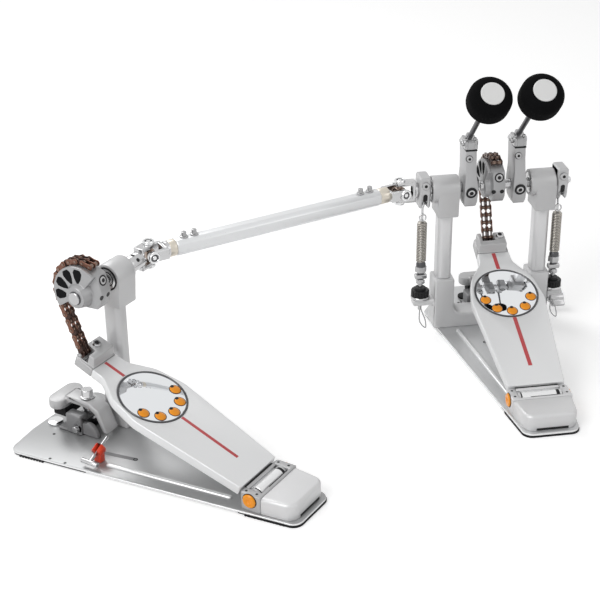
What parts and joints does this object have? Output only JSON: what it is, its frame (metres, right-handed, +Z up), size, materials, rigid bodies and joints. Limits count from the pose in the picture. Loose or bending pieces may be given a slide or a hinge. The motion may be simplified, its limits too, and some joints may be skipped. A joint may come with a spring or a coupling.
{
  "type": "double bass drum pedal",
  "caption": "Two linked foot pedals for a bass drum: chain-driven beaters on a main pedal, a second pedal and a telescopic shaft with universal joints between them.",
  "frame": {"origin": "on the floor, under the middle of the main pedal's shaft", "axes": "+X to the player's right along the main shaft, +Y towards the drum, +Z up"},
  "size_m": [0.7131, 0.5008, 0.357],
  "materials": {
    "cast_silver": "satin cast",
    "board_silver": "satin",
    "plate_grey": "brushed",
    "black_rubber": "matte",
    "mirror_disc": "polished",
    "orange_plastic": "gloss",
    "hub_grey": "satin",
    "chain_bronze": "oiled",
    "bright_steel": "polished",
    "bearing_steel": "ground",
    "dark_steel": "satin",
    "tube_silver": "anodised",
    "black_felt": "felt",
    "black_plastic": "moulded",
    "red_plastic": "moulded"
  },
  "bodies": {
    "main_frame": {"main_base_plate": "plate_grey", "main_base_rubber": "black_rubber", "main_pedestal": "cast_silver", "main_posts": "cast_silver", "main_bearing_housings": "cast_silver", "main_bearings": "bearing_steel", "main_heel_block": "cast_silver", "main_hinge_pin": "orange_plastic", "main_clamp_base": "cast_silver", "main_clamp_bolt": "bright_steel", "left_spring": "bright_steel", "right_spring": "bright_steel", "main_spring_rods": "bright_steel"},
    "main_board": {"main_footboard": "board_silver", "main_traction_disc": "mirror_disc", "main_grips": "orange_plastic"},
    "right_drive": {"main_shaft": "bright_steel", "main_drive_cam": "hub_grey", "main_chain_on_cam": "chain_bronze", "right_beater_hub": "hub_grey", "right_spring_rocker": "hub_grey"},
    "main_chain": {"main_chain_drop": "chain_bronze"},
    "right_beater": {"right_beater_rod": "dark_steel", "right_beater_head": "black_felt"},
    "left_drive": {"left_shaft": "bright_steel", "left_beater_hub": "hub_grey", "left_spring_rocker": "hub_grey"},
    "left_beater": {"left_beater_rod": "dark_steel", "left_beater_head": "black_felt"},
    "link_outer": {"link_tube": "tube_silver", "link_main_rod": "bright_steel", "link_lock_bolts": "bright_steel"},
    "main_cross": {"main_joint_cross": "bright_steel"},
    "link_inner": {"link_slave_rod": "bright_steel"},
    "slave_cross": {"slave_joint_cross": "bright_steel"},
    "left_nut": {"left_tension_nut": "black_plastic"},
    "right_nut": {"right_tension_nut": "black_plastic"},
    "main_jaw": {"main_clamp_jaw": "cast_silver"},
    "main_screw": {"main_clamp_screw": "bright_steel"},
    "slave_frame": {"slave_base_plate": "plate_grey", "slave_base_rubber": "black_rubber", "slave_pedestal": "cast_silver", "slave_post": "cast_silver", "slave_bearing_housing": "cast_silver", "slave_bearings": "bearing_steel", "slave_heel_block": "cast_silver", "slave_hinge_pin": "orange_plastic", "slave_clamp_base": "cast_silver", "slave_clamp_bolt": "bright_steel", "slave_key_clip": "red_plastic"},
    "slave_board": {"slave_footboard": "board_silver", "slave_traction_disc": "mirror_disc", "slave_grips": "orange_plastic"},
    "slave_drive": {"slave_shaft": "bright_steel", "slave_drive_cam": "hub_grey", "slave_chain_on_cam": "chain_bronze"},
    "slave_chain": {"slave_chain_drop": "chain_bronze"},
    "slave_jaw": {"slave_clamp_jaw": "cast_silver"},
    "slave_screw": {"slave_clamp_screw": "bright_steel"},
    "tuning_key": {"slave_tuning_key": "bright_steel"}
  },
  "joints": [
    {"name": "main_drive", "type": "hinge", "parent": "main_frame", "child": "right_drive", "pos_m": [0, 0, 0.195], "axis": [-1, 0, 0], "range_deg": [0, 42], "stiffness_Nm_per_rad": 1.2, "springref_deg": -68.75, "deforming": ["right_spring"]},
    {"name": "main_pedal", "type": "hinge", "parent": "main_frame", "child": "main_board", "pos_m": [0, -0.218, 0.018], "axis": [-1, 0, 0], "range_deg": [0, 7.95]},
    {"name": "main_chain_swing", "type": "hinge", "parent": "right_drive", "child": "main_chain", "pos_m": [-0.004, 0.03668, 0.19983], "axis": [1, 0, 0], "range_deg": [0, 53.75]},
    {"name": "right_beater_height", "type": "slide", "parent": "right_drive", "child": "right_beater", "axis": [0, -0.7193, 0.6947], "range_m": [-0.01, 0.02]},
    {"name": "left_drive", "type": "hinge", "parent": "main_frame", "child": "left_drive", "pos_m": [0, 0, 0.195], "axis": [-1, 0, 0], "range_deg": [0, 40.87], "deforming": ["left_spring"]},
    {"name": "left_beater_height", "type": "slide", "parent": "left_drive", "child": "left_beater", "axis": [0, -0.7193, 0.6947], "range_m": [-0.01, 0.02]},
    {"name": "link_outer_spin", "type": "hinge", "parent": "main_frame", "child": "link_outer", "pos_m": [-0.121, 0, 0.195], "axis": [-0.9306, -0.366, 0], "range_deg": [0, 38.66]},
    {"name": "main_cross_tilt", "type": "hinge", "parent": "link_outer", "child": "main_cross", "pos_m": [-0.121, 0, 0.195], "axis": [-0.366, 0.9306, 0], "range_deg": [-14.47, 14.47]},
    {"name": "slave_reach", "type": "slide", "parent": "main_frame", "child": "slave_frame", "axis": [-0.9306, -0.366, 0], "range_m": [-0.004, 0.05]},
    {"name": "slave_drive", "type": "hinge", "parent": "slave_frame", "child": "slave_drive", "pos_m": [-0.499, -0.198, 0.195], "axis": [-0.6508, -0.7593, 0], "range_deg": [0, 42], "stiffness_Nm_per_rad": 1.2, "springref_deg": -68.75},
    {"name": "slave_pedal", "type": "hinge", "parent": "slave_frame", "child": "slave_board", "pos_m": [-0.33348, -0.33987, 0.018], "axis": [-0.6508, -0.7593, 0], "range_deg": [0, 7.95]},
    {"name": "slave_chain_swing", "type": "hinge", "parent": "slave_drive", "child": "slave_chain", "pos_m": [-0.53531, -0.184, 0.19983], "axis": [0.6508, 0.7593, 0], "range_deg": [0, 53.75]},
    {"name": "link_inner_spin", "type": "hinge", "parent": "slave_frame", "child": "link_inner", "pos_m": [-0.43522, -0.12359, 0.195], "axis": [-0.9306, -0.366, 0], "range_deg": [0, 38.66]},
    {"name": "slave_cross_tilt", "type": "hinge", "parent": "link_inner", "child": "slave_cross", "pos_m": [-0.43522, -0.12359, 0.195], "axis": [-0.366, 0.9306, 0], "range_deg": [-19.12, 19.12]},
    {"name": "left_nut_turn", "type": "hinge", "parent": "main_frame", "child": "left_nut", "pos_m": [-0.0915, 0, 0.0545], "axis": [0, 0, 1], "continuous": true},
    {"name": "right_nut_turn", "type": "hinge", "parent": "main_frame", "child": "right_nut", "pos_m": [0.0825, 0, 0.0545], "axis": [0, 0, 1], "continuous": true},
    {"name": "main_screw_turn", "type": "hinge", "parent": "main_frame", "child": "main_screw", "pos_m": [0, 0.031, 0.014], "axis": [1, 0, 0], "range_deg": [0, 720]},
    {"name": "main_jaw_tilt", "type": "hinge", "parent": "main_frame", "child": "main_jaw", "pos_m": [0, 0.031, 0.04], "axis": [-1, 0, 0], "range_deg": [0, 3.1]},
    {"name": "slave_screw_turn", "type": "hinge", "parent": "slave_frame", "child": "slave_screw", "pos_m": [-0.52254, -0.17783, 0.014], "axis": [0.6508, 0.7593, 0], "range_deg": [0, 720]},
    {"name": "slave_jaw_tilt", "type": "hinge", "parent": "slave_frame", "child": "slave_jaw", "pos_m": [-0.51668, -0.17099, 0.04], "axis": [-0.6508, -0.7593, 0], "range_deg": [0, 3.1]},
    {"name": "key_pull", "type": "slide", "parent": "slave_frame", "child": "tuning_key", "axis": [0, 0, 1], "range_m": [0, 0.03]}
  ],
  "couplings": [
    {"joint": "main_pedal", "follows": "main_drive", "ratio": 0.17739},
    {"joint": "main_chain_swing", "follows": "main_drive", "ratio": 1.2678},
    {"joint": "slave_pedal", "follows": "slave_drive", "ratio": 0.17739},
    {"joint": "slave_chain_swing", "follows": "slave_drive", "ratio": 1.2678},
    {"joint": "link_inner_spin", "follows": "slave_drive", "ratio": 0.90854},
    {"joint": "link_outer_spin", "follows": "slave_drive", "ratio": 0.90854},
    {"joint": "slave_cross_tilt", "follows": "slave_drive", "ratio": -0.4433},
    {"joint": "main_cross_tilt", "follows": "slave_drive", "ratio": 0.33269},
    {"joint": "left_drive", "follows": "slave_drive", "ratio": 0.96111},
    {"joint": "main_jaw_tilt", "follows": "main_screw_turn", "ratio": 0.004167},
    {"joint": "slave_jaw_tilt", "follows": "slave_screw_turn", "ratio": 0.004167}
  ]
}
